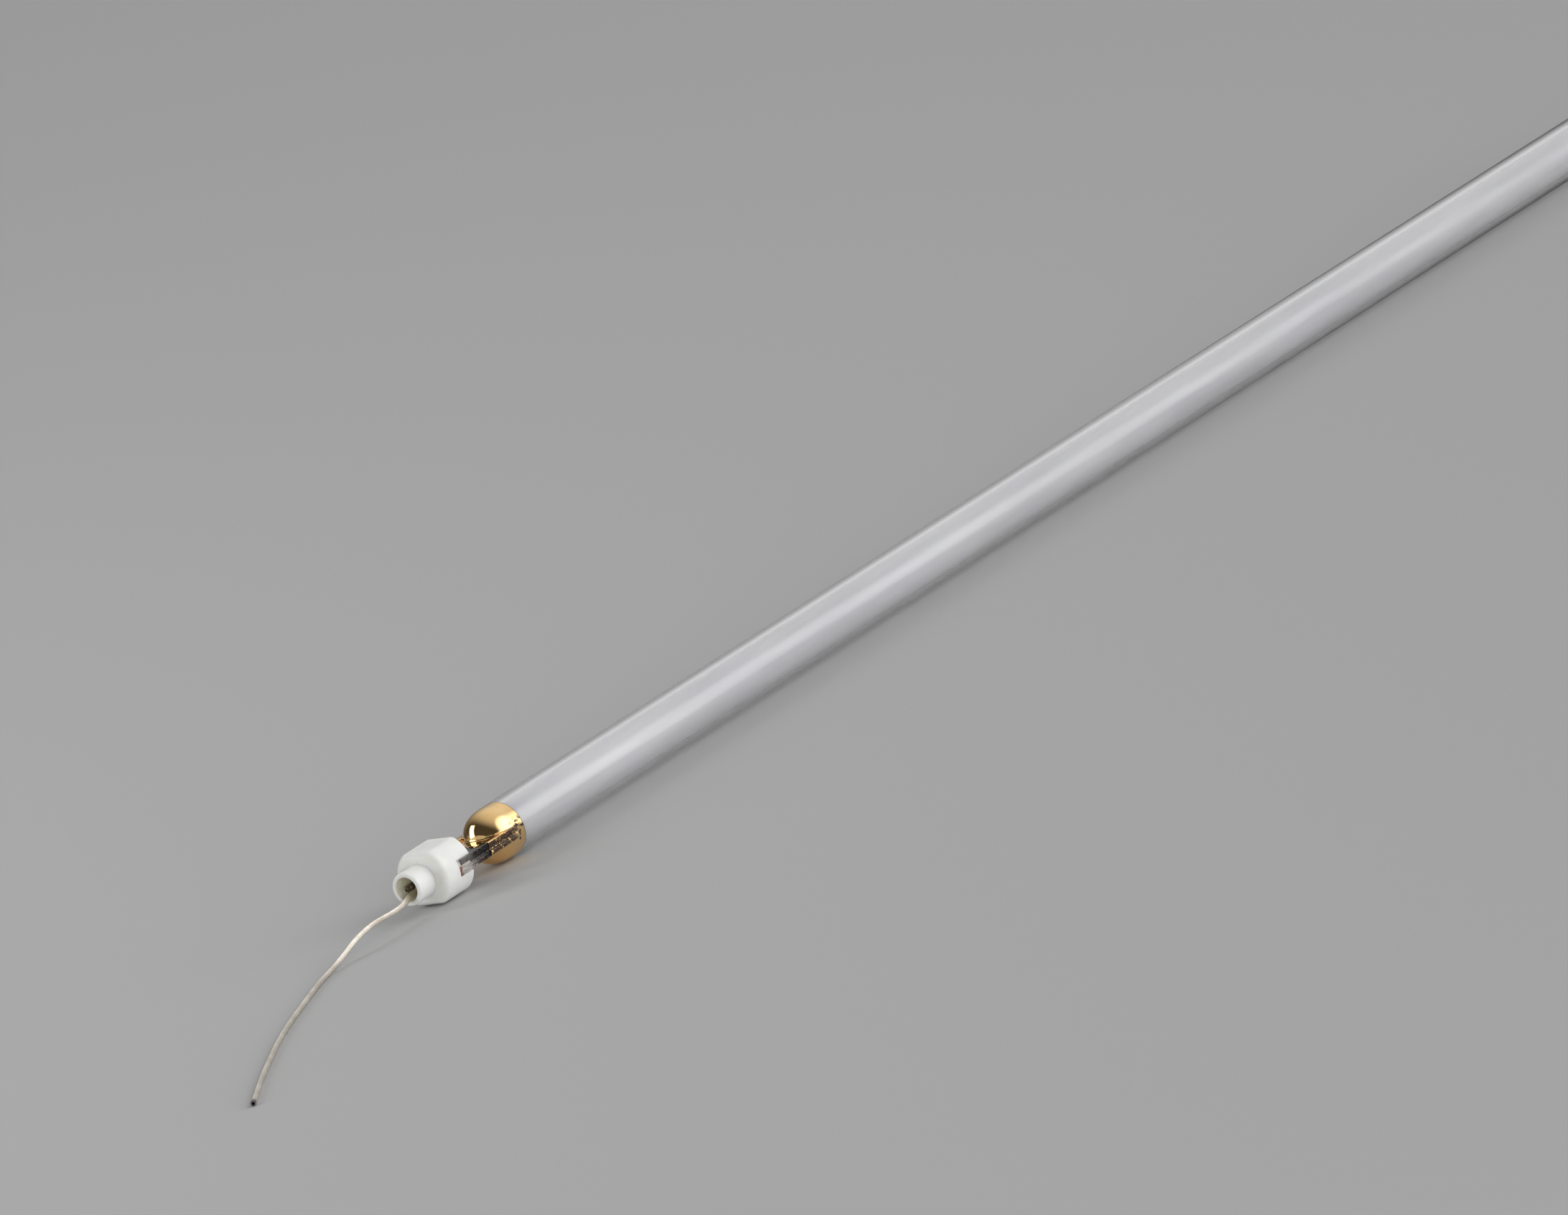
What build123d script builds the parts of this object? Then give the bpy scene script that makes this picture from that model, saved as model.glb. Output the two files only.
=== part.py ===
"""Double-ended ultraviolet tube lamp.

A quartz tube is pinched flat and sealed at both ends. Each end has a fired gold coat over its dome, a slotted
ceramic cap cemented onto the pinch and a lead pin in the nose of the cap. A bare stranded lead is welded to the
left pin and lies on the floor. Millimetres: +X runs along the tube, +Z is up, the lamp lies on the plane Z = 0.
"""

import math
import os

from build123d import *

# Overall
overall_length = 520.0  # between the mouths of the two cap noses

# Quartz tube
tube_diameter = 12.0
tube_wall = 1.5
dome_length = 6.9  # rounded end of the tube, from full diameter to its tip
bore_end_length = 5.0  # rounded end of the bore
bore_end_wall = 2.9  # quartz between the tip of the dome and the tip of the bore

# Pinch seal, an I section pressed out of the hot tube
pinch_length = 20.0  # from its cut end to the start of the dome
pinch_width = 12.3
pinch_thickness = 3.0  # over the rails
web_thickness = 2.0
rail_width = 1.9
rail_round = 0.3
rail_groove = 0.45  # radius of the groove along the outer edge of a rail
rail_fade_length = 4.5  # where the rails sink into the side of the tube
rail_fade_depth = 0.6

# Coats
gold_thickness = 0.08  # the gold lies flush, in a shallow step of the quartz
gold_on_tube = 2.5  # straight length coated past the dome
bare_pinch = 9.6  # length of the pinch left uncoated at its cut end
haze_thickness = 0.15  # milky coat on the wall of the bore
haze_clearance = 0.03

# Ceramic cap
nose_diameter = 7.0
nose_bore = 5.2
nose_length = 5.2
nose_rim_round = 0.35
cap_diameter = 12.7
cap_across_flats = 11.0
cap_body_length = 9.5
cap_corner_round = 1.6  # between a flat and the round side
cap_front_round = 1.3
cap_rear_round = 0.45
slot_depth = 4.7
slot_clearance = 0.25

# Cement between the pinch and the cap
cement_floor = 1.2  # under the cut end of the pinch
cement_recess = 0.35  # below the surface of the cap

# Lead pin, foil and electrode
pin_diameter = 1.0
pin_recess = 0.5  # from the mouth of the nose to the end of the pin
pin_in_pinch = 3.5
weld_lap = 1.7  # where the pin and the rod lie on the foil
foil_length = 9.5
foil_width = 6.0
foil_thickness = 0.1
electrode_reach = 5.4  # free length of the rod inside the bore
coil_wire = 0.45
coil_turns = 7
coil_setback = 0.6  # bare tip of the rod past the last turn
coil_clearance = 0.02

# Bare stranded lead, as distances out of the left nose, to the side and up
lead_diameter = 1.1
lead_route = [
    (-4.2, 0.0, 4.92),
    (-1.6, 0.0, 4.92),
    (1.6, 0.0, 3.75),
    (6.0, 0.0, 3.42),
    (12.5, 0.0, 3.85),
    (19.5, -0.1, 3.1),
    (27.5, -0.3, 0.75),
    (37.0, -2.9, 0.55),
    (48.0, -7.6, 0.55),
    (60.0, -12.6, 0.55),
    (72.0, -18.4, 0.55),
    (84.0, -25.0, 0.55),
    (97.0, -32.3, 0.55),
    (108.3, -39.4, 0.55),
]
lead_arc_share = 0.45  # share of the shorter run that each bend takes up

# Places along each end, measured inwards from the mouth of its nose
tube_radius = tube_diameter / 2
bore_radius = tube_radius - tube_wall
slot_floor = nose_length + cap_body_length - slot_depth
pinch_end = slot_floor + cement_floor
gold_start = pinch_end + bare_pinch
dome_start = pinch_end + pinch_length
gold_end = dome_start + gold_on_tube
rail_fade_start = gold_end - rail_fade_length
bore_tip = dome_start - dome_length + bore_end_wall
bore_start = bore_tip + bore_end_length
pin_inner_end = pinch_end + pin_in_pinch
foil_start = pin_inner_end - weld_lap
rod_start = foil_start + foil_length - weld_lap
rod_tip = bore_tip + electrode_reach

# Each end has a plane at the mouth of its nose: X across the pinch, Y up, Z inwards along the tube
ends = {
    "left": Plane(origin=(-overall_length / 2, 0, tube_radius), x_dir=(0, 1, 0), z_dir=(1, 0, 0)),
    "right": Plane(origin=(overall_length / 2, 0, tube_radius), x_dir=(0, -1, 0), z_dir=(-1, 0, 0)),
}


def tube_axis(end):
    return Axis(end.origin, end.z_dir)


def meridian(end):
    """Plane through the tube's axis, with X inwards along the tube and Y up."""
    return Plane(origin=end.origin, x_dir=end.z_dir, z_dir=-end.x_dir)


def plan(end):
    """Plane of the pinch, with X across it and Y inwards along the tube."""
    return Plane(origin=end.origin, x_dir=end.x_dir, z_dir=-end.y_dir)


def pinch_section(plane, inset=0.0):
    """Thin web between two thick rails, each with a groove along its outer edge."""
    with BuildSketch(plane) as section:
        Rectangle(pinch_width, pinch_thickness)
        with Locations((0, pinch_thickness / 2), (0, -pinch_thickness / 2)):
            Rectangle(pinch_width - 2 * rail_width, pinch_thickness - web_thickness, mode=Mode.SUBTRACT)
        with Locations((pinch_width / 2, 0), (-pinch_width / 2, 0)):
            Circle(rail_groove, mode=Mode.SUBTRACT)
        levels = section.vertices().group_by(Axis.Y)
        fillet(levels[0] + levels[-1], radius=rail_round)
        if inset:
            offset(amount=-inset, mode=Mode.REPLACE)
    return section


def pinch_rails(end, inset=0.0):
    """Coated length of the pinch, whose rails curve in and sink into the sides of the tube."""
    section = pinch_section(end.offset(gold_start), inset)
    half_width = pinch_width / 2 - inset
    sunk_half_width = tube_radius - rail_fade_depth - inset
    with BuildPart() as rails:
        extrude(section.sketch, amount=gold_end - gold_start)
        with BuildSketch(plan(end)):
            with BuildLine():
                side = Line((half_width, gold_start), (half_width, rail_fade_start))
                fade = TangentArc(side @ 1, (sunk_half_width, gold_end), tangent=side % 1)
                Line(fade @ 1, (0, gold_end))
                Line((0, gold_start), side @ 0)
                mirror(about=Plane.YZ)
            make_face()
        extrude(amount=pinch_thickness, both=True, mode=Mode.INTERSECT)
    return rails.part


def coated_end(end, inset=0.0):
    """Dome, straight band and pinch that the gold covers, with every surface moved in by the inset."""
    rails = pinch_rails(end, inset)
    with BuildPart() as form:
        with BuildSketch(meridian(end)):
            with BuildLine():
                dome = EllipticalCenterArc(
                    (dome_start, 0), dome_length - inset, tube_radius - inset, start_angle=90, arc_size=90
                )
                Polyline(dome @ 0, (gold_end, tube_radius - inset), (gold_end, 0), dome @ 1)
            make_face()
        revolve(axis=tube_axis(end))
        add(rails)
    return form.part


def make_gold_coat(end):
    outside, inside = coated_end(end), coated_end(end, gold_thickness)
    with BuildPart() as gold_coat:
        add(outside)
        add(inside, mode=Mode.SUBTRACT)
    return gold_coat


def make_lead_pin(end):
    with BuildPart() as lead_pin:
        with BuildSketch(end.offset(pin_recess)):
            Circle(pin_diameter / 2)
        extrude(amount=pin_inner_end - pin_recess)
    return lead_pin


def make_foil(end):
    with BuildPart() as foil:
        with BuildSketch(end.offset(foil_start)):
            with Locations((0, -(pin_diameter + foil_thickness) / 2)):
                Rectangle(foil_width, foil_thickness)
        extrude(amount=foil_length)
    return foil


def make_electrode_rod(end):
    with BuildPart() as electrode_rod:
        with BuildSketch(end.offset(rod_start)):
            Circle(pin_diameter / 2)
        extrude(amount=rod_tip - rod_start)
    return electrode_rod


def make_electrode_coil(end):
    """Close-wound tungsten turns, each drawn as a six-sided ring, on a thin sleeve that joins them."""
    inner_radius = pin_diameter / 2 + coil_clearance
    first_turn = rod_tip - coil_setback - coil_turns * coil_wire
    with BuildPart() as electrode_coil:
        with BuildSketch(meridian(end)):
            with Locations((first_turn + coil_turns * coil_wire / 2, inner_radius + coil_wire / 4)):
                Rectangle(coil_turns * coil_wire, coil_wire / 2)
            for turn in range(coil_turns):
                with Locations((first_turn + (turn + 0.5) * coil_wire, inner_radius + coil_wire / 2)):
                    RegularPolygon(coil_wire / 2, side_count=6)
        revolve(axis=tube_axis(end))
    return electrode_coil


def cap_section(plane, inset=0.0):
    """Round body of the cap with its two flats, one above and one below."""
    with BuildSketch(plane) as section:
        Circle(cap_diameter / 2)
        Rectangle(cap_diameter, cap_across_flats, mode=Mode.INTERSECT)
        fillet(section.vertices(), radius=cap_corner_round)
        if inset:
            offset(amount=-inset, mode=Mode.REPLACE)
    return section


def make_ceramic_cap(end):
    body = cap_section(end.offset(nose_length))
    along = tube_axis(end)
    with BuildPart() as ceramic_cap:
        extrude(body.sketch, amount=cap_body_length)
        fillet(ceramic_cap.faces().sort_by(along)[0].edges(), radius=cap_front_round)
        fillet(ceramic_cap.faces().sort_by(along)[-1].edges(), radius=cap_rear_round)
        with BuildSketch(end):
            Circle(nose_diameter / 2)
        extrude(amount=nose_length)
        fillet(ceramic_cap.faces().sort_by(along)[0].edges(), radius=nose_rim_round)
        with BuildSketch(end):
            Circle(nose_bore / 2)
        extrude(amount=slot_floor, mode=Mode.SUBTRACT)
        with BuildSketch(end.offset(slot_floor)):
            Rectangle(2 * cap_diameter, pinch_thickness + 2 * slot_clearance)
        extrude(amount=slot_depth, mode=Mode.SUBTRACT)
    return ceramic_cap


def make_cement(end, lead_pin):
    """Fills the slot of the cap around the cut end of the pinch and closes the bottom of the nose bore."""
    fill = cap_section(end.offset(slot_floor), cement_recess)
    cut_end = pinch_section(end.offset(pinch_end))
    with BuildPart() as cement:
        extrude(fill.sketch, amount=slot_depth - cement_recess)
        with BuildSketch(end.offset(slot_floor)):
            Rectangle(2 * cap_diameter, pinch_thickness + 2 * slot_clearance)
        extrude(amount=slot_depth, mode=Mode.INTERSECT)
        extrude(cut_end.sketch, amount=slot_depth, mode=Mode.SUBTRACT)
        add(lead_pin.part, mode=Mode.SUBTRACT)
    return cement


def make_quartz_envelope(sealed_in):
    """Tube with both pinched ends, stepped under the gold and pressed tight around the sealed metal."""
    left = ends["left"]
    stepped_ends = [coated_end(end, gold_thickness) for end in ends.values()]
    bare_ends = [pinch_section(end.offset(pinch_end)) for end in ends.values()]
    with BuildPart() as quartz_envelope:
        with BuildSketch(left.offset(gold_end)):
            Circle(tube_radius)
        extrude(amount=overall_length - 2 * gold_end)
        for stepped, bare in zip(stepped_ends, bare_ends):
            add(stepped)
            extrude(bare.sketch, amount=bare_pinch)
        with BuildSketch(meridian(left)):
            with BuildLine():
                near_end = EllipticalCenterArc(
                    (bore_start, 0), bore_end_length, bore_radius, start_angle=90, arc_size=90
                )
                far_end = EllipticalCenterArc(
                    (overall_length - bore_start, 0), bore_end_length, bore_radius, start_angle=0, arc_size=90
                )
                Line(near_end @ 0, far_end @ 1)
                Line(near_end @ 1, far_end @ 0)
            make_face()
        revolve(axis=tube_axis(left), mode=Mode.SUBTRACT)
        for piece in sealed_in:
            add(piece.part, mode=Mode.SUBTRACT)
    return quartz_envelope


def make_haze():
    """Milky coat on the straight wall of the bore."""
    outer_radius = bore_radius - haze_clearance
    with BuildPart() as haze:
        with BuildSketch(ends["left"].offset(bore_start)):
            Circle(outer_radius)
            Circle(outer_radius - haze_thickness, mode=Mode.SUBTRACT)
        extrude(amount=overall_length - 2 * bore_start)
    return haze


def make_lead_wire():
    points = [Vector(-overall_length / 2 - out, side, up) for out, side, up in lead_route]
    runs = [after - before for before, after in zip(points, points[1:])]
    radii = []
    for before, after in zip(runs, runs[1:]):
        half_turn = math.radians(before.get_angle(after)) / 2
        radii.append(lead_arc_share * min(before.length, after.length) / math.tan(half_turn))
    print("lead bend radii", [round(radius, 1) for radius in radii])
    with BuildPart() as lead_wire:
        with BuildLine() as path:
            FilletPolyline(*points, radius=radii)
        with BuildSketch(Plane(origin=points[0], z_dir=runs[0])):
            Circle(lead_diameter / 2)
        sweep()
    section = math.pi * lead_diameter**2 / 4
    print("lead length", round(path.wire().length, 2), "volume share", lead_wire.part.volume / section / path.wire().length)
    return lead_wire


def write(builder, name):
    builder.part.label = name
    export_step(builder.part, f"parts/{name}.step")


os.makedirs("parts", exist_ok=True)

sealed_metal = []
for side, end in ends.items():
    lead_pin = make_lead_pin(end)
    foil = make_foil(end)
    electrode_rod = make_electrode_rod(end)
    sealed_metal += [lead_pin, foil, electrode_rod]
    write(lead_pin, f"{side}_lead_pin")
    write(foil, f"{side}_foil")
    write(electrode_rod, f"{side}_electrode_rod")
    write(make_electrode_coil(end), f"{side}_electrode_coil")
    write(make_gold_coat(end), f"{side}_gold_coat")
    write(make_ceramic_cap(end), f"{side}_ceramic_cap")
    write(make_cement(end, lead_pin), f"{side}_cement")

write(make_quartz_envelope(sealed_metal), "quartz_envelope")
write(make_haze(), "inner_haze")
write(make_lead_wire(), "lead_wire")
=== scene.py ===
"""Looks of the ultraviolet tube lamp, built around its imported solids, in metres and in their frame."""

import math

import bpy
from mathutils import Matrix, Vector


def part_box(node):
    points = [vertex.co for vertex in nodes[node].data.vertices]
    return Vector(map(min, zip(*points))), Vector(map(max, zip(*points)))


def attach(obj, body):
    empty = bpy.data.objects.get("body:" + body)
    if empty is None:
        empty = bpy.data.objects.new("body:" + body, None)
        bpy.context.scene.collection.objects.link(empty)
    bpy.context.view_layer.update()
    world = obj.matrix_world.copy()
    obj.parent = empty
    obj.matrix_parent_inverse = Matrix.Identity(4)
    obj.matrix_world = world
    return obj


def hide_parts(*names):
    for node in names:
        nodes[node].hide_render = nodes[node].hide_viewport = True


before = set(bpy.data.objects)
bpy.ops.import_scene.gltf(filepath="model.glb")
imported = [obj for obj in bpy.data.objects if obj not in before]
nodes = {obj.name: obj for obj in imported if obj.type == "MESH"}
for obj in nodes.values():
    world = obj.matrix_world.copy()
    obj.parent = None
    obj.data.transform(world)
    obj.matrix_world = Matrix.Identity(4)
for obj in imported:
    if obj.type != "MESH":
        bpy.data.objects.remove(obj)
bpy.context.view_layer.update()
bpy.ops.object.select_all(action="DESELECT")

MM = 0.001

# Places read from the solids
cap_low, cap_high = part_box("left_ceramic_cap")
gold_low, gold_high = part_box("left_gold_coat")
haze_low, haze_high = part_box("inner_haze")
pin_low, pin_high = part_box("left_lead_pin")
quartz_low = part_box("quartz_envelope")[0]
nose_mouth = cap_low.x
cap_rear = cap_high.x
cut_end = quartz_low.x
gold_start = gold_low.x
gold_end = gold_high.x
axis_height = (gold_low.z + gold_high.z) / 2
tube_radius = (gold_high.z - gold_low.z) / 2
haze_radius = haze_high.y
pin_radius = pin_high.y

# Tube and its domed ends
tube_wall = 1.5 * MM
neck_depth = 0.16 * MM  # the hot tube drew in next to the pinch
neck_length = 16 * MM
gold_on_tube = 2.5 * MM
dome_start = gold_end - gold_on_tube
dome_length = 6.9 * MM
dome_fullness = 2.3  # 2 is an ellipse, more is blunter
bore_radius = tube_radius - tube_wall
bore_end_length = 5.0 * MM
bore_end_wall = 2.9 * MM
bore_start = dome_start - dome_length + bore_end_wall + bore_end_length
haze_thickness = 0.15 * MM

# Pinch, and the molten edges of its rails
pinch_width = 12.3 * MM
pinch_thickness = 3.0 * MM
web_thickness = 2.0 * MM
rail_width = 1.9 * MM
rail_groove = 0.45 * MM
rail_fade_length = 4.5 * MM
rail_fade_depth = 0.6 * MM
rail_narrowing = 0.2  # share of the rails' height lost where they sink into the tube
molten_side = 5.3 * MM  # from the axis to where the molten edges start
molten_fade = 0.5 * MM
molten_end = gold_end - MM
molten_end_fade = 2 * MM
molten_lump_size = 0.6 * MM
molten_lump_height = 0.22 * MM

# Gold coat, and the quartz under it
gold_thickness = 0.08 * MM
gold_margin = MM  # made longer by this at each end, then cut
ragged_reach = 0.7 * MM  # of the gold's uneven start
ragged_wave = 0.9 * MM
ragged_ripple = 0.37 * MM
core_inset = 0.14 * MM
bore_clearance = 2 * core_inset
bare_pinch_end = gold_end - 4 * core_inset
seat_gap = 0.02 * MM

# Cap and cement
nose_bore_radius = 2.6 * MM
cement_rough_side = 4.5 * MM  # from the axis to where the cement starts to be lumpy
cement_rough_fade = MM
cement_lump_size = 0.6 * MM
cement_lump_height = 0.35 * MM

# Weld on the pin, a row of beads
weld_length = 8 * pin_radius
weld_fade = MM
weld_lump_size = 0.5 * MM
weld_lump_height = 0.35 * MM
bead_count = 6
bead_swing = 2.4  # radians round the pin from bead to bead
bead_start = 0.5  # this and the values below are in radii of the pin
bead_step = 1.1
bead_offset = 0.35
bead_radius = 1.4
bead_loss = 0.06  # by which each bead is smaller than the one before

# Fineness of the meshes
turned_sides = 160
quarter_steps = 24
gold_dome_steps = 32
neck_parts = 6
tube_parts = 24
tube_first_part = 3  # the first one well clear of the neck
groove_steps = 8
rail_cuts = 40
line_steps = 24
strand_roundness = 2
pin_sides = 32
bead_fineness = 3
gold_voxel = 0.125 * MM
gold_smoothing = 8
quartz_voxel = 0.165 * MM
quartz_smoothing = 5
pin_voxel = 0.08 * MM
rough_smoothing = 2
smoothing_factor = 0.5
lump_detail = 2
seam_width = 0.001 * MM
crease_angle = math.radians(30)

# Bare lead, as millimetres out of the left nose, to the side and up
lead_diameter = 1.1 * MM
lead_route = [
    (-4.2, 0.0, 4.92),
    (-1.6, 0.0, 4.92),
    (1.6, 0.0, 3.75),
    (6.0, 0.0, 3.42),
    (12.5, 0.0, 3.85),
    (19.5, -0.1, 3.1),
    (27.5, -0.3, 0.75),
    (37.0, -2.9, 0.55),
    (48.0, -7.6, 0.55),
    (60.0, -12.6, 0.55),
    (72.0, -18.4, 0.55),
    (84.0, -25.0, 0.55),
    (97.0, -32.3, 0.55),
    (108.3, -39.4, 0.55),
]
strand_count = 11
strand_diameter = 0.28 * MM
strand_turn = 24.0 * MM
strand_fan_length = 8.0 * MM
strand_fan = 0.9  # share by which the strands spread at the pin

# The photograph: its size, and the camera that sees the nose at one of its pixels
photo_width, photo_height = 2184, 1693
focal_pixels = 18000
nose_pixel = (566.3, 1240.0)
nose_pixels_per_metre = 7030
view_azimuth = math.radians(51.784)
view_elevation = math.radians(12.527)
view_roll = math.radians(-16.938)
sensor_width = 36.0
sight_limit = 100

# Floor
floor_size = 40
floor_drop = 0.02 * MM
floor_grey = (0.52, 0.52, 0.52, 1)


# Node helpers


def add_node(tree, kind, inputs=None, **settings):
    """Add a node, set its properties, and link or fill its inputs."""
    node = tree.nodes.new("ShaderNode" + kind)
    for name, value in settings.items():
        setattr(node, name, value)
    for name, value in (inputs or {}).items():
        if isinstance(value, bpy.types.NodeSocket):
            tree.links.new(value, node.inputs[name])
        else:
            node.inputs[name].default_value = value
    return node


def ramp(tree, value, start, end, low=0.0, high=1.0):
    """Smooth change from a low to a high value while another value goes from its start to its end."""
    inputs = {"Value": value, "From Min": start, "From Max": end, "To Min": low, "To Max": high}
    return add_node(tree, "MapRange", inputs, interpolation_type="SMOOTHSTEP").outputs["Result"]


def combine(tree, operation, first, second=0.0):
    """Result of one step of arithmetic."""
    return add_node(tree, "Math", {0: first, 1: second}, operation=operation).outputs["Value"]


def product(tree, first, *others):
    """Several values multiplied."""
    for other in others:
        first = combine(tree, "MULTIPLY", first, other)
    return first


def new_material(name, plain_values=None):
    """New material, its tree and its shader, with plain values on the shader's sockets."""
    material = bpy.data.materials.new(name)
    material.use_nodes = True
    tree = material.node_tree
    shader = tree.nodes["Principled BSDF"]
    for socket, value in (plain_values or {}).items():
        shader.inputs[socket].default_value = value
    return material, tree, shader


# Camera, floor and light


def add_camera():
    """Camera at the photograph's angle, with the nose at its pixel."""
    camera = bpy.data.cameras.new("photo_camera")
    camera.sensor_width = sensor_width
    camera.lens = focal_pixels * sensor_width / photo_width
    camera.clip_end = sight_limit
    holder = bpy.data.objects.new("photo_camera", camera)
    bpy.context.scene.collection.objects.link(holder)
    turn = Matrix.Rotation(-view_azimuth, 3, "Z")
    turn @= Matrix.Rotation(math.pi / 2 - view_elevation, 3, "X")
    turn @= Matrix.Rotation(view_roll, 3, "Z")
    across = (nose_pixel[0] - photo_width / 2) / focal_pixels
    up = (photo_height / 2 - nose_pixel[1]) / focal_pixels
    nose = Vector((nose_mouth, 0, axis_height))
    depth = focal_pixels / nose_pixels_per_metre
    holder.matrix_world = turn.to_4x4()
    holder.location = nose - turn @ Vector((across, up, -1)) * depth
    bpy.context.scene.camera = holder


def sky_direction(azimuth, elevation):
    """Unit vector to a place in the surroundings, from degrees clockwise from +Y and degrees up."""
    azimuth, elevation = math.radians(azimuth), math.radians(elevation)
    level = math.cos(elevation)
    return Vector((math.sin(azimuth) * level, math.cos(azimuth) * level, math.sin(elevation)))


def add_softbox(name, azimuth, elevation, distance, width, height, radiance, roll=0.0):
    """Rectangular lamp in one direction from the nose, facing it, as bright as its radiance says."""
    lamp = bpy.data.lights.new(name, "AREA")
    lamp.shape = "RECTANGLE"
    lamp.size = width
    lamp.size_y = height
    lamp.energy = radiance * math.pi * width * height
    holder = bpy.data.objects.new(name, lamp)
    bpy.context.scene.collection.objects.link(holder)
    away = sky_direction(azimuth, elevation)
    facing = away.to_track_quat("Z", "Y").to_matrix().to_4x4()
    holder.matrix_world = facing @ Matrix.Rotation(math.radians(roll), 4, "Z")
    holder.location = Vector((nose_mouth, 0, 0)) + away * distance


def add_world():
    """Soft surroundings: a glow and a window on the right, a pale band low on the camera's side."""
    world = bpy.data.worlds.new("studio")
    world.use_nodes = True
    bpy.context.scene.world = world
    tree = world.node_tree
    direction = add_node(tree, "TexCoord").outputs["Generated"]

    def towards(azimuth, elevation):
        """Cosine of the angle between a direction and a place in the surroundings."""
        inputs = {0: direction, 1: sky_direction(azimuth, elevation)}
        return add_node(tree, "VectorMath", inputs, operation="DOT_PRODUCT").outputs["Value"]

    window_edge, window_middle = math.cos(math.radians(37)), math.cos(math.radians(4))
    band_full, band_top = math.sin(math.radians(6)), math.sin(math.radians(20))
    glow = ramp(tree, towards(105, 48), start=0.25, end=1.05, low=0.06, high=0.78)
    window = ramp(tree, towards(152, 26), window_edge, window_middle, high=2.0)
    low_band = ramp(tree, towards(0, 90), band_full, band_top, low=1.0, high=0.0)
    near_side = ramp(tree, towards(-128, 0), start=-0.6, end=0.8)
    far_side = ramp(tree, towards(52, 15), start=0.5, end=1.0, high=0.12)
    total = combine(tree, "ADD", glow, product(tree, low_band, near_side))
    total = combine(tree, "ADD", total, combine(tree, "ADD", window, far_side))
    background = tree.nodes["Background"]
    background.inputs["Color"].default_value = (1, 1, 1, 1)
    tree.links.new(total, background.inputs["Strength"])


def add_floor():
    """Plain floor that the lamp lies on."""
    bpy.ops.mesh.primitive_plane_add(size=floor_size, location=(0, 0, -floor_drop))
    floor = bpy.context.object
    floor.name = "studio_floor"
    matt_grey = {"Base Color": floor_grey, "Roughness": 0.9, "Specular IOR Level": 0.1}
    material = new_material("floor_grey", matt_grey)[0]
    floor.data.materials.append(material)


add_camera()
add_world()
add_floor()
add_softbox("left_softbox", azimuth=-36, elevation=28, distance=1.2, width=0.42, height=0.95,
            radiance=4.0, roll=32)
add_softbox("front_softbox", azimuth=-140, elevation=8, distance=1.5, width=0.9, height=0.35,
            radiance=4.0)


# Modelling helpers


def take(piece):
    """Make one piece the only selected one, and the active one."""
    bpy.ops.object.select_all(action="DESELECT")
    piece.select_set(True)
    bpy.context.view_layer.objects.active = piece


def settle(piece, node):
    """Let a finished piece stand for a solid of the lamp."""
    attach(piece, "root")
    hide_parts(node)


def trace(name, points):
    """Start a piece as a chain of edges: a small plane merged to a point, extruded from point to point."""
    bpy.ops.object.select_all(action="DESELECT")
    bpy.ops.mesh.primitive_plane_add(size=MM, location=points[0])
    piece = bpy.context.object
    piece.name = name
    piece.data.name = name
    bpy.ops.object.mode_set(mode="EDIT")
    bpy.ops.mesh.select_all(action="SELECT")
    bpy.ops.mesh.merge(type="CENTER")
    for before, after in zip(points, points[1:]):
        bpy.ops.mesh.extrude_region_move(TRANSFORM_OT_translate={"value": after - before})
    bpy.ops.mesh.select_all(action="SELECT")
    return piece


def close_up():
    """Merge the seams of the piece in edit mode, point its faces outwards and settle it at the origin."""
    bpy.ops.mesh.select_all(action="SELECT")
    bpy.ops.mesh.remove_doubles(threshold=seam_width)
    bpy.ops.mesh.normals_make_consistent(inside=False)
    bpy.ops.object.mode_set(mode="OBJECT")
    bpy.ops.object.transform_apply(location=True, rotation=True, scale=True)


def turned(name, profile):
    """Closed skin turned about the tube's axis from a profile of places along the tube and radii."""
    piece = trace(name, [Vector((along, 0, axis_height + radius)) for along, radius in profile])
    bpy.ops.mesh.spin(steps=turned_sides, angle=math.tau, center=(0, 0, axis_height), axis=(1, 0, 0))
    close_up()
    return piece


def add_modifier(piece, kind, **settings):
    """Add a modifier to a piece and apply it."""
    take(piece)
    modifier = piece.modifiers.new(kind.lower(), kind)
    for name, value in settings.items():
        setattr(modifier, name, value)
    bpy.ops.object.modifier_apply(modifier=modifier.name)


def remesh(piece, voxel):
    """Give a piece one even closed skin."""
    add_modifier(piece, "REMESH", mode="VOXEL", voxel_size=voxel)


def smooth(piece, rounds):
    """Soften the corners of a piece."""
    add_modifier(piece, "SMOOTH", factor=smoothing_factor, iterations=rounds)


def roughen(piece, lump_size, lump_height, weight):
    """Push lumps out of a piece, where a weight by place is above nothing."""
    lumpy = piece.vertex_groups.new(name="lumpy")
    for vertex in piece.data.vertices:
        lumpy.add([vertex.index], weight(vertex.co), "REPLACE")
    clouds = bpy.data.textures.new("lumps", "CLOUDS")
    clouds.noise_scale = lump_size
    clouds.noise_depth = lump_detail
    add_modifier(piece, "DISPLACE", texture=clouds, texture_coords="LOCAL", strength=lump_height,
                 mid_level=0.5, vertex_group=lumpy.name)
    piece.vertex_groups.clear()


def join(pieces):
    """Join pieces into the first one."""
    take(pieces[0])
    for piece in pieces[1:]:
        piece.select_set(True)
    bpy.ops.object.join()
    return pieces[0]


def far_copy(piece, name):
    """Copy of a piece of the left end, turned round to the right end."""
    copy = bpy.data.objects.new(name, piece.data.copy())
    bpy.context.scene.collection.objects.link(copy)
    copy.data.transform(Matrix.Rotation(math.pi, 4, "Z"))
    return copy


def smooth_share(value):
    """Share of a smooth change that is done, from nothing at 0 to all at 1."""
    value = min(1.0, max(0.0, value))
    return value * value * (3 - 2 * value)


# Lead


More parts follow.
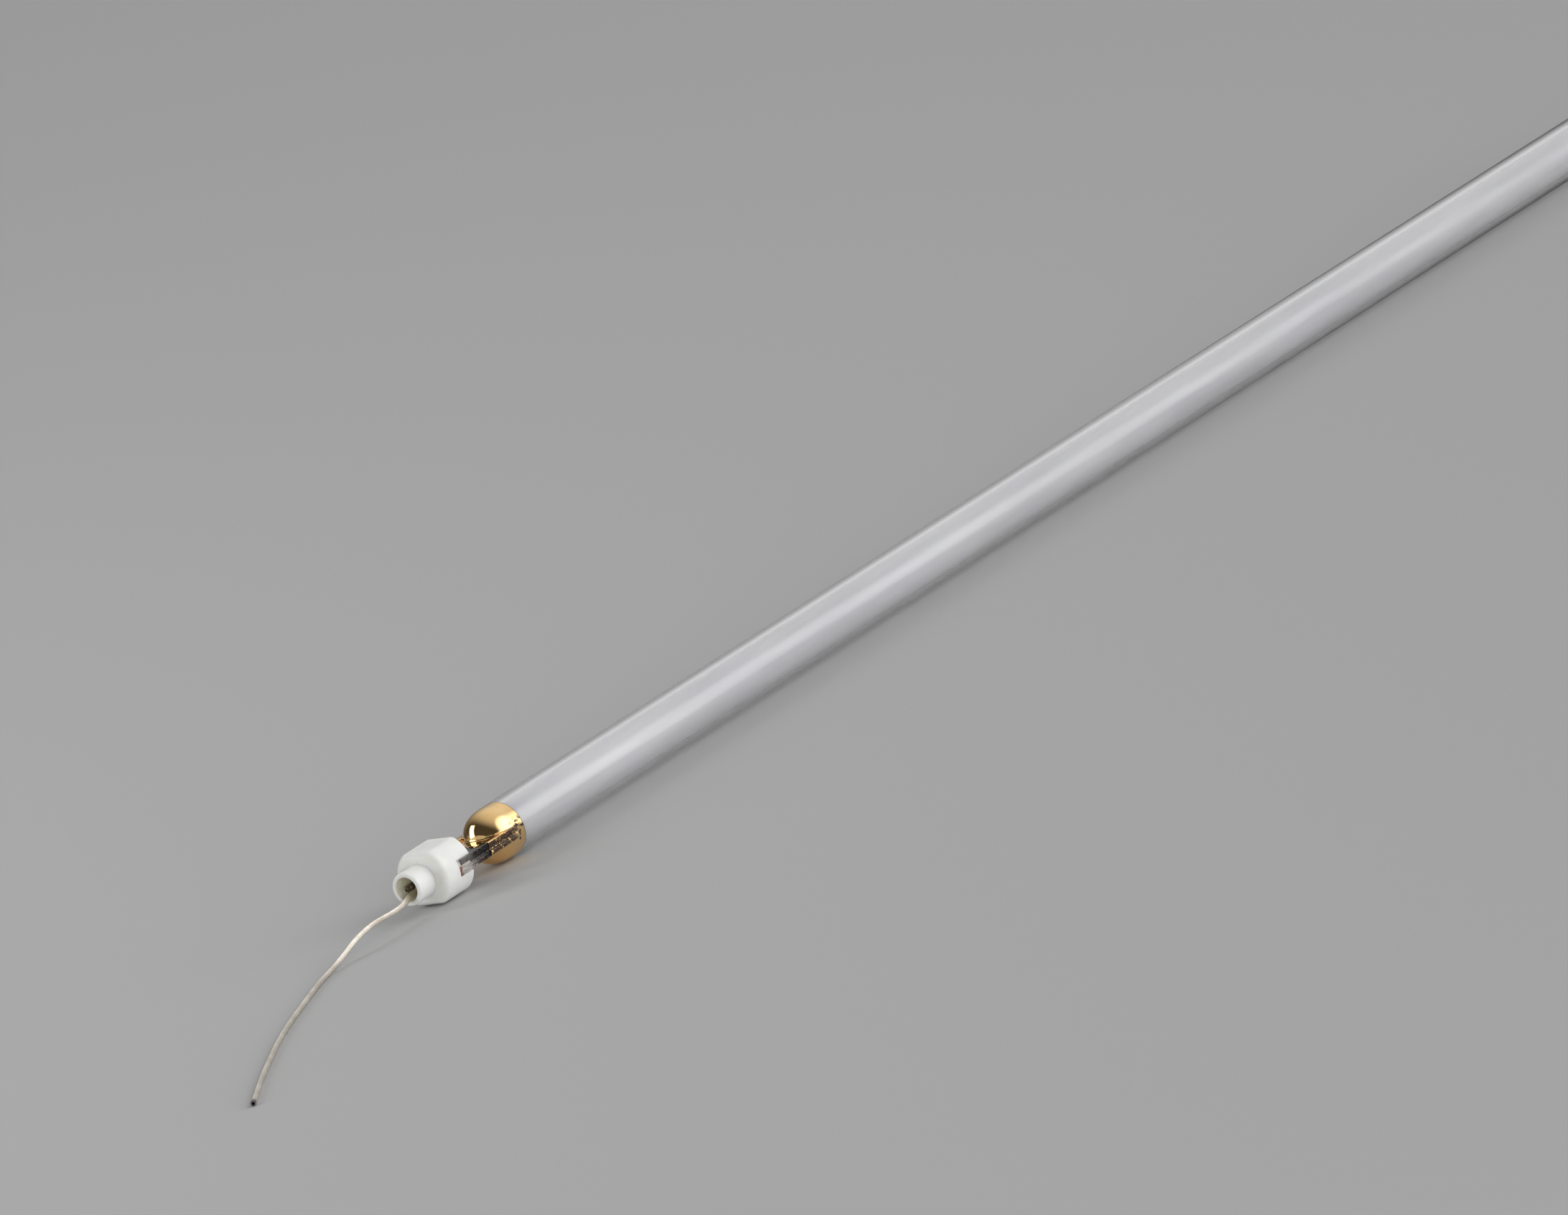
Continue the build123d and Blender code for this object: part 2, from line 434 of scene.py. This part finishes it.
def lead_place(out, side, up):
    """Place on the lead's route, from millimetres out of the nose, to the side and up."""
    return Vector((nose_mouth - out * MM, side * MM, up * MM))


def smooth_line(points):
    """Points along the smooth line that a route guides, read from a NURBS curve."""
    curve = bpy.data.curves.new("lead_line", "CURVE")
    curve.dimensions = "3D"
    curve.resolution_u = line_steps
    spline = curve.splines.new("NURBS")
    spline.points.add(len(points) - 1)
    for control, place in zip(spline.points, points):
        control.co = (*place, 1)
    spline.order_u = 3
    spline.use_endpoint_u = True
    holder = bpy.data.objects.new("lead_line", curve)
    mesh = bpy.data.meshes.new_from_object(holder)
    line = [vertex.co.copy() for vertex in mesh.vertices]
    bpy.data.objects.remove(holder)
    bpy.data.curves.remove(curve)
    bpy.data.meshes.remove(mesh)
    return line


def across_line(line):
    """The run up to each point of a line, and two directions across it there that don't twist."""
    frames = []
    run = 0.0
    side = Vector((0, 1, 0))
    for index, place in enumerate(line):
        before = line[max(index - 1, 0)]
        after = line[min(index + 1, len(line) - 1)]
        ahead = (after - before).normalized()
        side = (side - ahead * side.dot(ahead)).normalized()
        run += (place - before).length
        frames.append((run, side, ahead.cross(side)))
    return frames


def make_lead():
    """Strands laid round the lead's line, spread where they meet the pin."""
    line = smooth_line([lead_place(*point) for point in lead_route])
    frames = across_line(line)
    curve = bpy.data.curves.new("stranded_lead", "CURVE")
    curve.dimensions = "3D"
    curve.bevel_depth = strand_diameter / 2
    curve.bevel_resolution = strand_roundness
    curve.use_fill_caps = True
    for strand in range(strand_count):
        start_angle = math.tau * strand / strand_count
        spline = curve.splines.new("POLY")
        spline.points.add(len(line) - 1)
        for point, place, (run, side, other) in zip(spline.points, line, frames):
            angle = start_angle + math.tau * run / strand_turn
            spread = 1 + strand_fan * max(0.0, 1 - run / strand_fan_length)
            lay_radius = spread * (lead_diameter - strand_diameter) / 2
            offset = (side * math.cos(angle) + other * math.sin(angle)) * lay_radius
            point.co = (*(place + offset), 1)
    lead = bpy.data.objects.new("stranded_lead", curve)
    bpy.context.scene.collection.objects.link(lead)
    take(lead)
    bpy.ops.object.convert(target="MESH")
    settle(lead, "lead_wire")
    return lead


# Quartz and its coats


def quarter_round(middle, length, radius, fullness=2.0, steps=quarter_steps):
    """Quarter of a rounded end, from its tip on the axis to its full radius."""
    power = 2 / fullness
    profile = []
    for step in range(steps + 1):
        angle = math.pi / 2 * step / steps
        along = middle - length * max(0.0, math.cos(angle)) ** power
        profile.append((along, radius * math.sin(angle) ** power))
    return profile


def both_ends(profile):
    """A profile of the left half of the tube, followed by the same half at the right end."""
    return profile + [(-along, radius) for along, radius in reversed(profile)]


def tube_outside(along):
    """Radius of the tube at a place along its left half."""
    return tube_radius - neck_depth * (1 - smooth_share((along - dome_start) / neck_length))


def pinch_outline():
    """Section of the pinch as points across and up: a web between two rails with grooved edges."""
    side = pinch_width / 2
    rail = pinch_thickness / 2
    web = web_thickness / 2
    inner = side - rail_width
    angles = [math.pi * step / groove_steps for step in range(groove_steps + 1)]
    groove = [(side - rail_groove * math.sin(angle), rail_groove * math.cos(angle)) for angle in angles]
    upper = [(inner, web), (inner, rail), (side, rail)]
    lower = [(across, -up) for across, up in reversed(upper)]
    right = upper + groove + lower
    left = [(-across, -up) for across, up in right]
    return right + left


def cut_across(piece, length):
    """Cut a straight piece across at even steps, by subdividing the edges that run along it."""
    bpy.ops.object.mode_set(mode="EDIT")
    bpy.ops.mesh.select_all(action="DESELECT")
    bpy.ops.object.mode_set(mode="OBJECT")
    vertices = piece.data.vertices
    for edge in piece.data.edges:
        first, last = (vertices[index].co for index in edge.vertices)
        edge.select = abs(first.x - last.x) > length / 2
    bpy.ops.object.mode_set(mode="EDIT")
    bpy.ops.mesh.select_mode(type="EDGE")
    bpy.ops.mesh.subdivide(number_cuts=rail_cuts)
    bpy.ops.mesh.select_mode(type="VERT")
    bpy.ops.object.mode_set(mode="OBJECT")


def shape_rails(rails):
    """Narrow the rails towards the tube and curve them in, until they sink into its sides."""
    for vertex in rails.data.vertices:
        share = max(0.0, (vertex.co.x - gold_end + rail_fade_length) / rail_fade_length)
        depth = (rail_fade_depth + pinch_width / 2 - tube_radius) * share**2
        vertex.co.y -= math.copysign(depth, vertex.co.y) * min(1.0, abs(vertex.co.y) / tube_radius)
        lost = rail_narrowing * smooth_share((vertex.co.x - gold_start) / (gold_end - gold_start))
        vertex.co.z -= (vertex.co.z - axis_height) * lost


def make_pinch(name, start, end):
    """Length of the pinch from one place along the tube to another, with shaped rails."""
    outline = pinch_outline()
    pinch = trace(name, [Vector((start, across, axis_height + up)) for across, up in outline + outline[:1]])
    bpy.ops.mesh.remove_doubles(threshold=seam_width)
    bpy.ops.mesh.edge_face_add()
    bpy.ops.mesh.extrude_region_move(TRANSFORM_OT_translate={"value": (end - start, 0, 0)})
    close_up()
    cut_across(pinch, end - start)
    shape_rails(pinch)
    return pinch


def molten_weight(place):
    """How far a place is on the pinch's molten edge: nothing on its flat sides, all on its outer edges."""
    outer = smooth_share((abs(place.y) - molten_side) / molten_fade)
    level = smooth_share((pinch_thickness / 2 - abs(place.z - axis_height)) / molten_fade)
    return outer * level * smooth_share((molten_end - place.x) / molten_end_fade)


def make_bare_pinch():
    """Pinch with soft uneven edges, cut out round the bore and stepped in where it runs under the gold."""
    bare = make_pinch("bare_pinch", cut_end, bare_pinch_end)
    room_radius = bore_radius + bore_clearance
    profile = quarter_round(bore_start, bore_end_length + bore_clearance, room_radius)
    room = turned("bore_room", profile + [(gold_end, room_radius), (gold_end, 0)])
    add_modifier(bare, "BOOLEAN", operation="DIFFERENCE", object=room, solver="EXACT")
    bpy.data.objects.remove(room)
    remesh(bare, quartz_voxel)
    smooth(bare, quartz_smoothing)
    roughen(bare, molten_lump_size, molten_lump_height, molten_weight)
    covered = [vertex for vertex in bare.data.vertices if vertex.co.x > gold_start - seat_gap]
    inward = [-vertex.normal for vertex in covered]
    for vertex, direction in zip(covered, inward):
        vertex.co += direction * core_inset
    return bare


def make_quartz():
    """Clear tube stepped in under the gold, its bore and both bare pinches, as skins of one piece."""
    core_radius = tube_radius - neck_depth - core_inset
    step = gold_end + seat_gap
    neck_reaches = [neck_length * part / neck_parts for part in range(neck_parts + 1)]
    tube_reaches = [-step * part / tube_parts for part in range(tube_first_part, tube_parts)]
    profile = quarter_round(dome_start, dome_length - core_inset, core_radius, dome_fullness)
    profile.append((step, core_radius))
    profile += [(step + reach, tube_outside(step + reach)) for reach in neck_reaches + tube_reaches]
    quartz = turned("quartz_tube", both_ends(profile))
    bare = make_bare_pinch()
    bore = turned("bore", both_ends(quarter_round(bore_start, bore_end_length, bore_radius)))
    take(bore)
    bpy.ops.object.mode_set(mode="EDIT")
    bpy.ops.mesh.select_all(action="SELECT")
    bpy.ops.mesh.flip_normals()
    bpy.ops.object.mode_set(mode="OBJECT")
    join([quartz, bore, bare, far_copy(bare, "far_bare_pinch")])
    bpy.ops.object.shade_smooth_by_angle(angle=crease_angle)
    settle(quartz, "quartz_envelope")
    return quartz


def make_haze():
    """Thin milky sleeve on the wall of the bore."""
    outer, inner = haze_radius, haze_radius - haze_thickness
    start, end = haze_low.x, haze_high.x
    profile = [(start, outer), (end, outer), (end, inner), (start, inner), (start, outer)]
    haze = turned("milky_coat", profile)
    take(haze)
    bpy.ops.object.shade_smooth_by_angle(angle=crease_angle)
    settle(haze, "inner_haze")
    return haze


def ragged_share(place):
    """Share of its ragged reach that the gold stays back at a place: a wave and a finer ripple."""
    wave = math.sin(place.y / ragged_wave)
    ripple = math.sin(place.y / ragged_ripple + place.z / MM)
    return 0.5 + 0.3 * wave + 0.2 * ripple


def make_gold():
    """Skin over the dome and the pinch: both remeshed as one, smoothed and given the coat's thickness."""
    tube_end = gold_end + gold_margin
    end_radius = tube_outside(gold_end)
    dome_radius = tube_radius - neck_depth
    profile = quarter_round(dome_start, dome_length, dome_radius, dome_fullness, gold_dome_steps)
    dome = turned("left_gold", profile + [(gold_end, end_radius), (tube_end, end_radius), (tube_end, 0)])
    gold = join([dome, make_pinch("gold_rails", gold_start - gold_margin, gold_end)])
    remesh(gold, gold_voxel)
    smooth(gold, gold_smoothing)
    roughen(gold, molten_lump_size, molten_lump_height, molten_weight)
    take(gold)
    bpy.ops.object.mode_set(mode="EDIT")
    for place, cut in ((gold_start, {"clear_inner": True}), (gold_end, {"clear_outer": True})):
        bpy.ops.mesh.select_all(action="SELECT")
        bpy.ops.mesh.bisect(plane_co=(place, 0, 0), plane_no=(1, 0, 0), **cut)
    bpy.ops.object.mode_set(mode="OBJECT")
    for vertex in gold.data.vertices:
        near = max(0.0, 1 - (vertex.co.x - gold_start) / (2 * ragged_reach))
        vertex.co.x += ragged_reach * ragged_share(vertex.co) * near
    add_modifier(gold, "SOLIDIFY", thickness=gold_thickness, offset=-1)
    bpy.ops.object.shade_smooth()
    return gold


# Cement and pin


def make_cement():
    """Lumpy cement, grown out of the plain filling of the slot."""
    cement = bpy.data.objects.new("left_rough_cement", nodes["left_cement"].data.copy())
    bpy.context.scene.collection.objects.link(cement)
    take(cement)
    bpy.ops.object.mode_set(mode="EDIT")
    close_up()
    remesh(cement, gold_voxel)

    def open_side_weight(place):
        """How far a place is at the open sides of the slot."""
        return smooth_share((abs(place.y) - cement_rough_side) / cement_rough_fade)

    roughen(cement, cement_lump_size, cement_lump_height, open_side_weight)
    smooth(cement, rough_smoothing)
    bpy.ops.object.shade_smooth()
    return cement


def make_pin():
    """Round pin with the beads of the weld that holds the strands to it."""
    bpy.ops.object.select_all(action="DESELECT")
    length = pin_high.x - pin_low.x
    middle = ((pin_low.x + pin_high.x) / 2, 0, axis_height)
    along_tube = (0, math.pi / 2, 0)
    bpy.ops.mesh.primitive_cylinder_add(vertices=pin_sides, radius=pin_radius, depth=length,
                                        location=middle, rotation=along_tube)
    pin = bpy.context.object
    pin.name = "left_pin"
    beads = []
    for bead in range(bead_count):
        along = pin_low.x + pin_radius * (bead_start + bead_step * bead)
        swing = bead_swing * bead
        side = bead_offset * pin_radius * math.cos(swing)
        up = bead_offset * pin_radius * math.sin(swing)
        radius = pin_radius * (bead_radius - bead_loss * bead)
        place = (along, side, axis_height + up)
        bpy.ops.mesh.primitive_ico_sphere_add(subdivisions=bead_fineness, radius=radius, location=place)
        beads.append(bpy.context.object)
    join([pin] + beads)
    bpy.ops.object.transform_apply(location=True, rotation=True, scale=True)
    remesh(pin, pin_voxel)
    weld_end = pin_low.x + weld_length

    def weld_weight(place):
        """How far a place is on the welded end."""
        return smooth_share((weld_end - place.x) / weld_fade)

    roughen(pin, weld_lump_size, weld_lump_height, weld_weight)
    smooth(pin, rough_smoothing)
    bpy.ops.object.shade_smooth()
    return pin


def at_both_ends(left, name, node):
    """A finished piece of the left end and its copy at the right end, each standing for its solid."""
    right = far_copy(left, f"right_{name}")
    settle(left, f"left_{node}")
    settle(right, f"right_{node}")
    return left, right


lead = make_lead()
quartz = make_quartz()
haze = make_haze()
gold_coats = at_both_ends(make_gold(), "gold", "gold_coat")
pins = at_both_ends(make_pin(), "pin", "lead_pin")
cements = at_both_ends(make_cement(), "rough_cement", "cement")


# Effects that several materials share


def start_group(name, sockets, result, result_type):
    """Empty node group with number inputs and one output."""
    group = bpy.data.node_groups.new(name, "ShaderNodeTree")
    for socket, value in sockets.items():
        made = group.interface.new_socket(socket, in_out="INPUT", socket_type="NodeSocketFloat")
        made.default_value = value
    group.interface.new_socket(result, in_out="OUTPUT", socket_type=result_type)
    return group, group.nodes.new("NodeGroupInput").outputs, group.nodes.new("NodeGroupOutput").inputs


def place_parts(tree):
    """Parts of a place on the lamp: X along it, Y to the side and Z up."""
    place = add_node(tree, "TexCoord").outputs["Object"]
    return add_node(tree, "SeparateXYZ", {"Vector": place}).outputs


def stretched_noise(tree, size, stretch):
    """Noise with grains of one size, drawn out along the tube."""
    parts = place_parts(tree)
    drawn = combine(tree, "DIVIDE", parts["X"], stretch)
    narrowed = add_node(tree, "CombineXYZ", {"X": drawn, "Y": parts["Y"], "Z": parts["Z"]})
    scale = combine(tree, "DIVIDE", 1.0, size)
    inputs = {"Vector": narrowed.outputs["Vector"], "Scale": scale, "Detail": 4.0}
    return add_node(tree, "TexNoise", inputs).outputs["Fac"]


def make_mottle():
    """Soft patches over a surface, as values between a low and a high one."""
    sockets = {"Size": MM, "Stretch": 1.0, "Low": 0.0, "High": 1.0}
    group, given, result = start_group("surface_mottle", sockets, "Value", "NodeSocketFloat")
    noise = stretched_noise(group, given["Size"], given["Stretch"])
    patches = ramp(group, noise, start=0.3, end=0.7, low=given["Low"], high=given["High"])
    group.links.new(patches, result["Value"])
    return group


def make_relief():
    """Fine uneven skin of a surface, as its normal."""
    sockets = {"Size": MM, "Stretch": 1.0, "Depth": 0.0}
    group, given, result = start_group("fine_relief", sockets, "Normal", "NodeSocketVector")
    noise = stretched_noise(group, given["Size"], given["Stretch"])
    bump = add_node(group, "Bump", {"Height": noise, "Distance": given["Depth"]})
    group.links.new(bump.outputs["Normal"], result["Normal"])
    return group


mottle_group = make_mottle()
relief_group = make_relief()


def mottle(tree, size, low=0.0, high=1.0, stretch=1.0):
    """Values of soft patches of one size, in a material."""
    values = {"Size": size, "Stretch": stretch, "Low": low, "High": high}
    return add_node(tree, "Group", values, node_tree=mottle_group).outputs["Value"]


def relief(tree, size, depth, stretch=1.0):
    """Normal of a fine uneven skin, in a material."""
    values = {"Size": size, "Stretch": stretch, "Depth": depth}
    return add_node(tree, "Group", values, node_tree=relief_group).outputs["Normal"]


# Materials


def along_lamp(tree):
    """Distance from the lamp's middle along it."""
    return combine(tree, "ABSOLUTE", place_parts(tree)["X"])


def beside_axis(tree):
    """Distance from the axis to the side."""
    return combine(tree, "ABSOLUTE", place_parts(tree)["Y"])


def above_axis(tree):
    """Height over the axis."""
    return combine(tree, "SUBTRACT", place_parts(tree)["Z"], axis_height)


def out_from_axis(tree):
    """Distance from the axis."""
    side, up = beside_axis(tree), above_axis(tree)
    squares = combine(tree, "ADD", product(tree, side, side), product(tree, up, up))
    return combine(tree, "SQRT", squares)


def blend(tree, share, first, second):
    """Colour between two others, each a colour or the output of a node."""
    first, second = ((*colour, 1) if isinstance(colour, tuple) else colour for colour in (first, second))
    # A Mix node takes colours at its sockets 6 and 7, and gives one at 2
    return add_node(tree, "Mix", {0: share, 6: first, 7: second}, data_type="RGBA").outputs[2]


def link_finish(tree, shader, colour, roughness, normal):
    """Link a material's colour, roughness and normal to its shader."""
    tree.links.new(colour, shader.inputs["Base Color"])
    tree.links.new(roughness, shader.inputs["Roughness"])
    tree.links.new(normal, shader.inputs["Normal"])


def let_lamps_through(tree, shader):
    """Make a glass clear to the light that the lamps send through it."""
    shadow_ray = add_node(tree, "LightPath").outputs["Is Shadow Ray"]
    clear = add_node(tree, "BsdfTransparent").outputs["BSDF"]
    mix = add_node(tree, "MixShader", {0: shadow_ray, 1: shader.outputs["BSDF"], 2: clear})
    tree.links.new(mix.outputs["Shader"], tree.nodes["Material Output"].inputs["Surface"])


def quartz_material():
    """Clear glass with faint drawing lines, tinted dark brown before the gold as painted shade, frosted and
    dusty at the cap.
    """
    clear, greyish = (1.0, 1.0, 1.0), (0.97, 0.97, 0.98)
    # Painted shade: dark browns that tint the glass between the cap and the gold
    painted_shade_dark, painted_shade_brown = (0.03, 0.02, 0.02), (0.16, 0.11, 0.10)
    glass = {"Transmission Weight": 1.0, "IOR": 1.458, "Coat Roughness": 0.8, "Coat IOR": 1.8}
    material, tree, shader = new_material("clear_quartz_glass", glass)
    along = along_lamp(tree)
    cap_edge = -cap_rear
    ragged = combine(tree, "ADD", along, mottle(tree, 1.5 * MM, low=-0.9 * MM, high=0.9 * MM))
    behind_cap = ramp(tree, ragged, start=cap_edge - 0.4 * MM, end=cap_edge - 2.0 * MM)
    off_dome = ramp(tree, along, start=-dome_start, end=-gold_start - MM)
    # Painted shade of the glass before the gold
    painted_shade = blend(tree, mottle(tree, 0.9 * MM), painted_shade_dark, painted_shade_brown)
    glass_tint = blend(tree, mottle(tree, 6 * MM, stretch=8), clear, greyish)
    tint = blend(tree, product(tree, behind_cap, off_dome), glass_tint, painted_shade)
    frosted = ramp(tree, ragged, start=cap_edge - 2.0 * MM, end=cap_edge, high=0.35)
    roughness = combine(tree, "ADD", mottle(tree, 5 * MM, high=0.02, stretch=6), frosted)
    dusty = ramp(tree, ragged, start=cap_edge - 1.2 * MM, end=cap_edge + 0.2 * MM)
    tree.links.new(dusty, shader.inputs["Coat Weight"])
    link_finish(tree, shader, tint, roughness, relief(tree, 1.5 * MM, depth=0.002 * MM, stretch=60))
    let_lamps_through(tree, shader)
    return material


def haze_material():
    """Milky coat, wiped along the bore."""
    thick, thin = (0.49, 0.49, 0.51), (0.56, 0.56, 0.58)
    material, tree, shader = new_material("milky_bore_coat")
    colour = blend(tree, mottle(tree, 3 * MM, stretch=14), thick, thin)
    roughness = mottle(tree, 4 * MM, low=0.45, high=0.65, stretch=6)
    link_finish(tree, shader, colour, roughness, relief(tree, 1.2 * MM, depth=0.01 * MM, stretch=10))
    return material


def gold_material():
    """Fired gold, burnt to a glassy brown with flecks of gold along the pinch's molten edges; the brown is
    partly painted reflection of the dark surroundings.
    """
    bright_gold, deep_gold = (0.96, 0.67, 0.33), (0.92, 0.60, 0.26)
    # Browns of the burnt coat, partly painted reflection of the dark surroundings
    dark_brown, light_brown = (0.035, 0.02, 0.012), (0.14, 0.075, 0.035)
    burnt_roughness = 0.15  # added to the gold's own
    material, tree, shader = new_material("fired_gold")
    tube_edge = -gold_end
    along, side = along_lamp(tree), beside_axis(tree)
    height = combine(tree, "ABSOLUTE", above_axis(tree))
    outer = ramp(tree, side, start=molten_side, end=5.6 * MM)
    level = ramp(tree, height, start=1.2 * MM, end=1.45 * MM, low=1.0, high=0.0)
    off_tube = ramp(tree, along, start=tube_edge + 1.5 * MM, end=tube_edge + 4.0 * MM)
    between_flecks = ramp(tree, mottle(tree, 0.8 * MM), start=0.8, end=0.95, low=1.0, high=0.1)
    molten = product(tree, outer, level, off_tube, between_flecks)
    beside = ramp(tree, side, start=4.9 * MM, end=5.6 * MM)
    spots = ramp(tree, mottle(tree, 1.1 * MM), start=0.6, end=0.8)
    near_tube = ramp(tree, along, start=tube_edge + 4.5 * MM, end=tube_edge + 3.0 * MM)
    # Brown where the coat is burnt, partly painted reflection of the dark surroundings: on the molten edges
    # and in spots near the tube
    burnt_and_dark_reflection = combine(tree, "MAXIMUM", molten, product(tree, beside, spots, near_tube))
    gold = blend(tree, mottle(tree, 4 * MM), bright_gold, deep_gold)
    brown = blend(tree, mottle(tree, 0.5 * MM), dark_brown, light_brown)
    tree.links.new(ramp(tree, burnt_and_dark_reflection, start=0.0, end=1.0, low=1.0, high=0.35), shader.inputs["Metallic"])
    polish = mottle(tree, 2.5 * MM, low=0.05, high=0.10)
    roughness = combine(tree, "ADD", polish, product(tree, burnt_and_dark_reflection, burnt_roughness))
    ripples = relief(tree, 1.8 * MM, depth=0.012 * MM)
    link_finish(tree, shader, blend(tree, burnt_and_dark_reflection, gold, brown), roughness, ripples)
    return material


def ceramic_material():
    """Unglazed white ceramic with a fine grain, with painted shade inside the nose: warmer and darker
    there.
    """
    bright, warm = (0.92, 0.92, 0.895), (0.87, 0.87, 0.835)
    # Painted shade inside the nose's bore
    pale_bore_shade, deep_bore_shade = (0.94, 0.92, 0.84), (0.88, 0.84, 0.73)
    translucent = {
        "Subsurface Weight": 1.0,
        "Subsurface Radius": (1.0, 0.95, 0.8),
        "Subsurface Scale": 1.0 * MM,
    }
    material, tree, shader = new_material("white_ceramic_body", translucent)
    bore_edge, bore_fade = nose_bore_radius + 0.05 * MM, nose_bore_radius + 0.3 * MM
    inside = ramp(tree, out_from_axis(tree), bore_edge, bore_fade, low=1.0, high=0.0)
    white = blend(tree, mottle(tree, 3 * MM), bright, warm)
    # Painted shade: warmer, darker colour inside the nose's bore
    painted_bore_shade = blend(tree, mottle(tree, 1.2 * MM), pale_bore_shade, deep_bore_shade)
    roughness = mottle(tree, MM, low=0.42, high=0.6)
    grain = relief(tree, 0.3 * MM, depth=0.012 * MM)
    link_finish(tree, shader, blend(tree, inside, white, painted_bore_shade), roughness, grain)
    return material


def cement_material():
    """Grainy cement, pale inside the slot and baked brown on its floor, at the open sides."""
    baked_brown, baked_dark = (0.34, 0.17, 0.10), (0.09, 0.05, 0.035)
    pale_light, pale_dark = (0.66, 0.62, 0.56), (0.48, 0.44, 0.40)
    material, tree, shader = new_material("brown_refractory_cement")
    baked = blend(tree, mottle(tree, 0.6 * MM), baked_brown, baked_dark)
    pale = blend(tree, mottle(tree, 0.8 * MM), pale_light, pale_dark)
    open_side = ramp(tree, beside_axis(tree), start=5.0 * MM, end=5.6 * MM)
    low_half = ramp(tree, above_axis(tree), start=0.5 * MM, end=-0.1 * MM)
    slot_floor = ramp(tree, along_lamp(tree), start=-cut_end - 0.5 * MM, end=-cut_end + 0.1 * MM)
    colour = blend(tree, product(tree, open_side, low_half, slot_floor), pale, baked)
    roughness = mottle(tree, 0.8 * MM, low=0.75, high=0.95)
    link_finish(tree, shader, colour, roughness, relief(tree, 0.35 * MM, depth=0.12 * MM))
    return material


def pin_material():
    """Metal with a dark scale from the weld."""
    scale, bare = (0.03, 0.024, 0.018), (0.17, 0.125, 0.08)
    material, tree, shader = new_material("oxidised_pin", {"Metallic": 0.6})
    colour = blend(tree, mottle(tree, 0.5 * MM), scale, bare)
    roughness = mottle(tree, 0.4 * MM, low=0.35, high=0.7)
    link_finish(tree, shader, colour, roughness, relief(tree, 0.2 * MM, depth=0.03 * MM))
    return material


def foil_material():
    """Thin dull metal foil."""
    light, dark = (0.40, 0.36, 0.35), (0.20, 0.16, 0.165)
    material, tree, shader = new_material("sealing_foil", {"Metallic": 1.0})
    colour = blend(tree, mottle(tree, 1.5 * MM), light, dark)
    roughness = mottle(tree, MM, low=0.22, high=0.42)
    link_finish(tree, shader, colour, roughness, relief(tree, 0.7 * MM, depth=0.02 * MM))
    return material


def tungsten_material():
    """Drawn grey metal of the electrodes."""
    light, dark = (0.40, 0.39, 0.38), (0.24, 0.24, 0.25)
    material, tree, shader = new_material("tungsten_metal", {"Metallic": 1.0})
    colour = blend(tree, mottle(tree, 0.8 * MM), light, dark)
    roughness = mottle(tree, 0.6 * MM, low=0.3, high=0.5)
    link_finish(tree, shader, colour, roughness, relief(tree, 0.4 * MM, depth=0.01 * MM, stretch=6))
    return material


def strand_material():
    """Warm nickel strands, dull at the cut tip."""
    bright, dim = (0.82, 0.77, 0.69), (0.68, 0.63, 0.55)
    dull = (0.16, 0.15, 0.15)
    material, tree, shader = new_material("nickel_strand", {"Metallic": 1.0})
    ends_apart = {0: add_node(tree, "TexCoord").outputs["Object"], 1: lead_place(*lead_route[-1])}
    from_tip = add_node(tree, "VectorMath", ends_apart, operation="DISTANCE").outputs["Value"]
    nickel = blend(tree, mottle(tree, 3 * MM), bright, dim)
    colour = blend(tree, ramp(tree, from_tip, start=0.6 * MM, end=2.2 * MM), dull, nickel)
    roughness = mottle(tree, 1.5 * MM, low=0.28, high=0.42)
    link_finish(tree, shader, colour, roughness, relief(tree, 0.3 * MM, depth=0.006 * MM))
    return material


def dress(material, *pieces):
    """Give pieces their only material."""
    for piece in pieces:
        piece.data.materials.clear()
        piece.data.materials.append(material)


def solids(form):
    """The solids of one form, at the left and the right end."""
    return [nodes[f"{end}_{form}"] for end in ("left", "right")]


dress(quartz_material(), quartz)
dress(haze_material(), haze)
dress(gold_material(), *gold_coats)
dress(ceramic_material(), *solids("ceramic_cap"))
dress(cement_material(), *cements)
dress(pin_material(), *pins)
dress(foil_material(), *solids("foil"))
dress(tungsten_material(), *solids("electrode_rod"), *solids("electrode_coil"))
dress(strand_material(), lead)

bpy.context.scene.view_settings.view_transform = "Standard"
